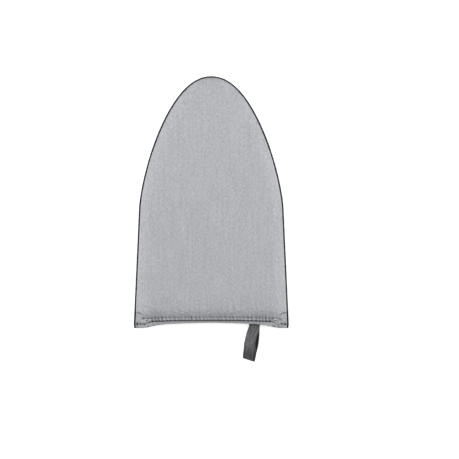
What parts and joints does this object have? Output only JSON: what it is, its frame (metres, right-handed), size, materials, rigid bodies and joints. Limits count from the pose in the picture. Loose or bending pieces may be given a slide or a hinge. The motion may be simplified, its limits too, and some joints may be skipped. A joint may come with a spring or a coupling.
{
  "type": "ironing pad",
  "caption": "Arch-shaped padded mitt held under a garment for ironing or steaming, with a pocket for the hand and a hanging loop.",
  "frame": {"origin": "middle of the pad's length, between the mouth's corners and the tip, on the surface that the pad lies on", "axes": "+Z out of the padded face, +Y from the mouth towards the tip, +X to the right as the face is looked at with the tip up"},
  "size_m": [0.2468, 0.4541, 0.0283],
  "materials": {
    "face_cloth": "grey heather heat-resistant cloth, plain weave",
    "pocket_cloth": "the same grey heather cloth",
    "lining_cloth": "thin matt lining cloth",
    "foam": "open-cell foam",
    "piping_cloth": "dark grey bias cloth",
    "cotton_cord": "twisted cotton",
    "elastic": "knitted rubber-core tape",
    "webbing": "dark grey herringbone webbing"
  },
  "bodies": {
    "pad": {"face_panel": "face_cloth", "foam_pad": "foam", "palm_lining": "lining_cloth", "face_binding": "face_cloth", "piping_cover": "piping_cloth", "piping_cord": "cotton_cord", "pocket_panel": "pocket_cloth", "pocket_casing": "pocket_cloth", "mouth_elastic": "elastic", "loop_sewn_ends": "webbing"},
    "loop": {"hanging_loop": "webbing"}
  },
  "joints": [
    {"name": "loop_swing", "type": "hinge", "parent": "pad", "child": "loop", "pos_m": [0.0685, -0.19768, 0.0078], "axis": [1, 0, 0], "range_deg": [-90, 90]}
  ]
}
